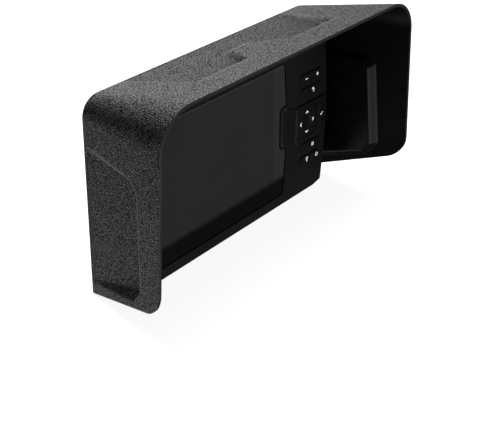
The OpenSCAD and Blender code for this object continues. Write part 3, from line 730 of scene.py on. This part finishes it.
def circuit_board():
    """Green solder resist over copper tracks, with a scatter of bright pads."""
    f = Finish("circuit_board_green", Coat_Weight=0.35, Coat_Roughness=0.15)
    tracks = f.span(f.cells(3.4, "DISTANCE_TO_EDGE"), 0.03, 0.05)
    pads = f.span(f.cells(2.3), 0.13, 0.16)
    resist = f.blend(tracks, (0.012, 0.115, 0.045, 1), (0.006, 0.055, 0.024, 1))
    f.colour(f.blend(pads, (0.62, 0.6, 0.52, 1), resist))
    f.feed(f.shader.inputs["Metallic"], f.span(pads, 0, 1, 0.9, 0.0))
    f.rough(f.span(f.noise(5), 0.3, 0.7, 0.3, 0.42))
    f.relief(f.maths("SUBTRACT", tracks, pads), -0.5, 0.05)
    return f.mat


def ribbon_film():
    """Amber film over parallel copper tracks."""
    f = Finish("flex_amber", Coat_Weight=0.5, Coat_Roughness=0.12)
    wave = f.node("ShaderNodeTexWave", {"Vector": f.place, "Scale": 300.0, "Distortion": 0.0},
                  bands_direction="X").outputs["Fac"]
    f.colour(f.blend(f.span(wave, 0.4, 0.6), (0.30, 0.12, 0.02, 1), (0.62, 0.30, 0.08, 1)))
    f.rough(f.span(f.noise(3), 0.3, 0.7, 0.28, 0.4))
    f.relief(wave, 0.4, 0.03)
    return f.mat


def speckled(name, low, high, rough, size=0.7, **uniform):
    """Fired ceramic, silicone, ink or potting: fine speckles of a second tone."""
    f = Finish(name, **uniform)
    specks = f.noise(size, 5.0, 0.7)
    f.colour(f.blend(f.span(specks, 0.35, 0.65), low, high))
    f.rough(f.span(specks, 0.3, 0.7, rough - 0.06, rough + 0.08))
    f.relief(specks, 0.4, 0.04)
    return f.mat


def acrylic():
    """Light guide: clear acrylic with a grid of printed dots behind it."""
    f = Finish("clear_acrylic", Transmission_Weight=0.75, IOR=1.49)
    dots = f.span(f.cells(1.5), 0.2, 0.26)
    f.colour(f.blend(dots, (0.95, 0.96, 0.96, 1), (0.78, 0.83, 0.85, 1)))
    f.rough(f.span(dots, 0, 1, 0.4, 0.08))
    f.relief(dots, 0.2, 0.02)
    return f.mat


def screen_glass():
    """Anti-glare cover glass: smoky over the picture, lighter at its right as a painted reflection, and
    black along the bottom, partly the border's ink and partly painted shade.
    """
    px, pz, pw, ph = millimetres("lcd_panel")[:4]
    # How much wider and higher than its picture the panel is
    margin = 8
    f = Finish("cover_glass_smoky", Specular_IOR_Level=0.35, Coat_Weight=0.25, Coat_Roughness=0.05)
    split = f.node("ShaderNodeSeparateXYZ", {0: f.place})
    low_edge = (pz - (ph - margin) / 2) * MM + HALF_H
    right_edge = (px + (pw - margin) / 2) * MM
    # Black along the bottom: partly the border's ink, partly painted shade
    ink_and_shade_band = f.span(split.outputs[2], low_edge - 2.5 * MM, low_edge + 2.5 * MM, 1, 0)
    # Lighter right of the picture: a painted reflection
    painted_reflection_band = f.span(split.outputs[0], right_edge - 0.5 * MM, right_edge + 0.5 * MM)
    smoke = f.noise(60, 2.0)
    picture = f.blend(smoke, grey(0.027, 1.03, 1.02), grey(0.031, 1.03, 1.02))
    upper = f.blend(painted_reflection_band, picture, grey(0.037))
    f.colour(f.blend(ink_and_shade_band, upper, grey(0.0032)))
    wipes = f.noise(9, 4.0, 0.6, f.stretched(1, 1, 0.35))
    f.rough(f.span(wipes, 0.3, 0.7, 0.17, 0.24))
    f.relief(f.noise(0.12, 1.0), 0.12, 0.004)
    return f.mat


def bezel_finish():
    """The face's moulding: glossier where it is raised, with painted shade, near black, in the grooves
    round glass and keys.
    """
    f = Finish("bezel_black")
    low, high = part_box("front_bezel")
    # The outer sides and the lower edge are no grooves and get no painted shade, however far behind the
    # face they run
    side_limit, low_limit, fade = high.x - 3 * MM, low.z + 3 * MM, 0.5 * MM
    split = f.node("ShaderNodeSeparateXYZ", {0: f.place})
    inside = f.span(f.maths("ABSOLUTE", split.outputs[0]), side_limit, side_limit + fade, 1, 0)
    above = f.span(split.outputs[2], low_limit, low_limit + fade)
    # A groove lies behind the face and gets painted shade; a raised part lies in front of it
    deep = f.span(split.outputs[1], FACE_Y + 0.25 * MM, FACE_Y + 0.5 * MM)
    painted_groove_shade = f.maths("MULTIPLY", deep, f.maths("MULTIPLY", inside, above))
    raised = f.span(split.outputs[1], FACE_Y - 0.6 * MM, FACE_Y - 0.2 * MM, 1, 0)
    slow = f.noise(30, 3.0)
    # Painted shade: near black and without gloss in the grooves
    f.colour(f.blend(painted_groove_shade, f.blend(slow, grey(0.006), grey(0.009)), grey(0.0004)))
    gloss = f.maths("MULTIPLY_ADD", raised, 0.35, f.span(painted_groove_shade, 0, 1, 0.3, 0.0))
    f.feed(f.shader.inputs["Specular IOR Level"], gloss)
    f.rough(f.maths("MULTIPLY_ADD", raised, -0.17, f.span(slow, 0.25, 0.75, 0.35, 0.45)))
    f.relief(f.maths("ADD", f.noise(0.22, 2.0), f.cells(0.44)), 0.6, 0.02)
    return f.mat


def give(obj, *materials):
    """Puts materials on an object; a mesh that has none yet keeps its faces' slots."""
    if obj.data.materials:
        obj.data.materials.clear()
    for m in materials:
        obj.data.materials.append(m)


def round_edges(node, width):
    """Breaks a CAD node's sharp edges without touching its mesh: weld, merge flats, bevel, even normals."""
    node.modifiers.new("weld", "WELD").merge_threshold = 0.002 * MM
    flats = node.modifiers.new("merge_flats", "DECIMATE")
    flats.decimate_type = "DISSOLVE"
    flats.angle_limit = math.radians(0.6)
    bevel_edges(node, "broken_edges", width, 38)
    node.modifiers.new("even_normals", "WEIGHTED_NORMAL").keep_sharp = True


# ---------- Build ----------

KEY_NODES = ("zoom_rocker", "back_key", "direction_pad", "select_key", "menu_key", "mark_key", "power_key")

# Keys whose flange laps behind the bezel only above and below
NARROW_KEYS = ("select_key", "mark_key", "power_key")

# The symbols' white glows faintly: painted light that lifts them out of the shade under the visor
ink_with_painted_glow = speckled("symbol_white_painted_glow", grey(0.82), grey(0.92), 0.5,
               Emission_Color=(1, 1, 1, 1), Emission_Strength=0.4)
case_black = moulded("case_black", 0.010, 0.46, 0.35, 0.05)
key_black = moulded("key_black", 0.0055, 0.42, 0.18, 0.015)
chip_black = moulded("chip_black", 0.012, 0.5, 0.15, 0.02)
seal_black = rubber("seal_black", 0.010)
foam_black = rubber("foam_black", 0.006, 0.9)
mat_grey = rubber("key_mat_grey", 0.03)
board_green = circuit_board()
flex_amber = ribbon_film()
steel = worked_metal("sheet_steel_bright", (0.36, 0.37, 0.38, 1), (0.6, 0.61, 0.62, 1), 0.32)
aluminium = worked_metal("sheet_aluminium_satin", (0.55, 0.56, 0.57, 1), (0.78, 0.79, 0.8, 1), 0.38,
                         (14, 1, 1))
screw_metal = worked_metal("screw_steel", (0.25, 0.25, 0.26, 1), (0.55, 0.55, 0.56, 1), 0.3,
                           (1, 8, 1), 0.6)
brass = worked_metal("insert_brass", (0.46, 0.30, 0.10, 1), (0.78, 0.58, 0.26, 1), 0.27, (1, 8, 1), 0.7)
gold = worked_metal("contact_gold", (0.72, 0.48, 0.14, 1), (0.92, 0.70, 0.30, 1), 0.18, (1, 6, 1), 0.5)

NODE_LOOKS = {
    # node: (material, width of its broken edges in millimetres)
    "front_bezel": (bezel_finish(), 0.35),
    "cover_glass": (screen_glass(), 0.22),
    "glass_gasket": (foam_black, 0.05),
    "lcd_panel": (speckled("lcd_cell_dark", grey(0.012), grey(0.02), 0.2, 12), 0.12),
    "light_guide": (acrylic(), 0.12),
    "backlight_tray": (steel, 0.12),
    "lcd_frame": (steel, 0.15),
    "lcd_screws": (screw_metal, 0.15),
    "heat_spreader": (aluminium, 0.2),
    "thermal_pad": (speckled("thermal_pad_blue", (0.13, 0.19, 0.28, 1), (0.24, 0.31, 0.42, 1), 0.7), 0.2),
    "main_board": (board_green, 0.1),
    "board_components": (chip_black, 0.12),
    "board_shield": (steel, 0.12),
    "board_screws": (screw_metal, 0.15),
    "gnss_antenna": (speckled("patch_ceramic", (0.5, 0.42, 0.3, 1), (0.66, 0.57, 0.43, 1), 0.45), 0.2),
    "buzzer": (chip_black, 0.3),
    "display_flex": (flex_amber, 0.04),
    "keypad_flex": (flex_amber, 0.04),
    "keypad_board": (board_green, 0.1),
    "dome_switches": (screw_metal, 0.12),
    "key_mat": (mat_grey, 0.15),
    "pad_pivot": (mat_grey, 0.12),
    "rear_case": (case_black, 0.5),
    "case_seal": (seal_black, 0.08),
    "case_screws": (screw_metal, 0.18),
    "rear_inserts": (brass, 0.15),
    "knob_inserts": (brass, 0.2),
    "power_socket": (chip_black, 0.25),
    "transducer_socket": (chip_black, 0.25),
    "power_pins": (gold, 0.12),
    "transducer_pins": (gold, 0.12),
    "socket_nuts": (case_black, 0.3),
    "vent_plug": (seal_black, 0.4),
}

for name, (material, edge) in NODE_LOOKS.items():
    give(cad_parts[name], material)
    round_edges(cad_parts[name], edge)

visor = make_visor()
cut_edge = moulded("visor_cut_edge", 0.026, 0.34, 0.6, 0.05, specular=0.5)
give(visor, grained_sheet(), smooth_sheet(), cut_edge)
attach(visor, "visor")
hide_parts("visor_shell")

for name in KEY_NODES:
    if name == "zoom_rocker":
        key = make_zoom_rocker(name)
    elif name == "direction_pad":
        key = make_direction_pad(name)
    else:
        w, h = millimetres(name)[2:4]
        key = make_press_key(name, w if name in NARROW_KEYS else w - 2 * FLANGE_LAP, h - 2 * FLANGE_LAP)
    give(key, key_black)
    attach(key, name)
    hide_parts(name)
make_symbols()


# ---------- Stage ----------

# The room's glow from all round, and its broad glows: direction, half-width in degrees, strength
AMBIENT = 0.03
GLOWS = (
    ((-0.4, 0.7, -0.65), 40, 0.92),
    ((0.6, 0.7, -0.38), 36, 1.6),
    ((0.46, 0.76, 0.45), 35, 1.35),
    ((-0.12, -0.82, -0.52), 42, 0.8),
    ((0.66, -0.72, 0.2), 16, 2.6),
)


def area_light(name, place, target, size, power):
    """A rectangular softbox turned to a target."""
    light = bpy.data.lights.new(name, "AREA")
    light.shape = "RECTANGLE"
    light.size, light.size_y = size
    light.energy = power
    obj = bpy.data.objects.new(name, light)
    bpy.context.collection.objects.link(obj)
    obj.location = place
    obj.rotation_mode = "QUATERNION"
    obj.rotation_quaternion = (Vector(target) - Vector(place)).to_track_quat("-Z", "Y")


def make_world():
    """Soft studio surroundings: broad glows in a dark room, seen as a plain white backdrop."""
    world = bpy.data.worlds.new("studio")
    bpy.context.scene.world = world
    world.use_nodes = True
    tree = world.node_tree
    toward = tree.nodes.new("ShaderNodeTexCoord").outputs["Generated"]
    total = tree.nodes.new("ShaderNodeValue").outputs[0]
    total.default_value = AMBIENT
    for direction, half_width, strength in GLOWS:
        facing = tree.nodes.new("ShaderNodeVectorMath")
        facing.operation = "DOT_PRODUCT"
        facing.inputs[1].default_value = Vector(direction).normalized()
        tree.links.new(toward, facing.inputs[0])
        glow = tree.nodes.new("ShaderNodeMapRange")
        glow.interpolation_type = "SMOOTHSTEP"
        glow.inputs["From Min"].default_value = math.cos(math.radians(half_width))
        glow.inputs["To Max"].default_value = strength
        tree.links.new(facing.outputs["Value"], glow.inputs["Value"])
        both = tree.nodes.new("ShaderNodeMath")
        tree.links.new(total, both.inputs[0])
        tree.links.new(glow.outputs[0], both.inputs[1])
        total = both.outputs[0]
    room = tree.nodes["Background"]
    tree.links.new(total, room.inputs["Strength"])
    backdrop = tree.nodes.new("ShaderNodeBackground")
    backdrop.inputs["Color"].default_value = (1, 1, 1, 1)
    room.inputs["Color"].default_value = (1, 1, 1, 1)
    choose = tree.nodes.new("ShaderNodeMixShader")
    tree.links.new(tree.nodes.new("ShaderNodeLightPath").outputs["Is Camera Ray"], choose.inputs[0])
    tree.links.new(room.outputs[0], choose.inputs[1])
    tree.links.new(backdrop.outputs[0], choose.inputs[2])
    tree.links.new(choose.outputs[0], tree.nodes["World Output"].inputs["Surface"])


def make_stage():
    """A pale floor that shows no reflection of itself in the gloss, and a softbox overhead."""
    corners = [(-6, -6, 0), (6, -6, 0), (6, 6, 0), (-6, 6, 0)]
    floor = new_object("floor", corners, [(0, 1, 2, 3)], smooth=False)
    f = Finish("pale_floor", Roughness=0.9, Specular_IOR_Level=0.1, Emission_Strength=0.9,
               Emission_Color=(1, 1, 1, 1))
    f.colour(f.blend(f.noise(400), grey(0.8), grey(0.86)))
    give(floor, f.mat)
    floor.visible_glossy = False
    area_light("overhead", (0.25, 0.35, 1.2), (0, 0, 0.1), (1.6, 1.2), 12)


def make_camera():
    """The camera at the viewing angle: 50.4 degrees round to the left, 31.2 degrees above."""
    cam = bpy.data.cameras.new("camera")
    cam.sensor_width = 36
    cam.lens = 72.95
    cam.clip_start, cam.clip_end = 0.01, 50
    obj = bpy.data.objects.new("camera", cam)
    bpy.context.collection.objects.link(obj)
    place = at(-546.5, -466.2, 380.3)
    yaw, pitch = math.radians(50.43), math.radians(-31.24)
    forward = Vector((math.sin(yaw) * math.cos(pitch), math.cos(yaw) * math.cos(pitch), math.sin(pitch)))
    right = Vector((math.cos(yaw), -math.sin(yaw), 0))
    turned = Matrix((right, right.cross(forward), -forward)).transposed().to_4x4()
    obj.matrix_world = Matrix.Translation(place) @ turned
    bpy.context.scene.camera = obj


make_world()
make_stage()
make_camera()
bpy.context.scene.view_settings.view_transform = "Standard"
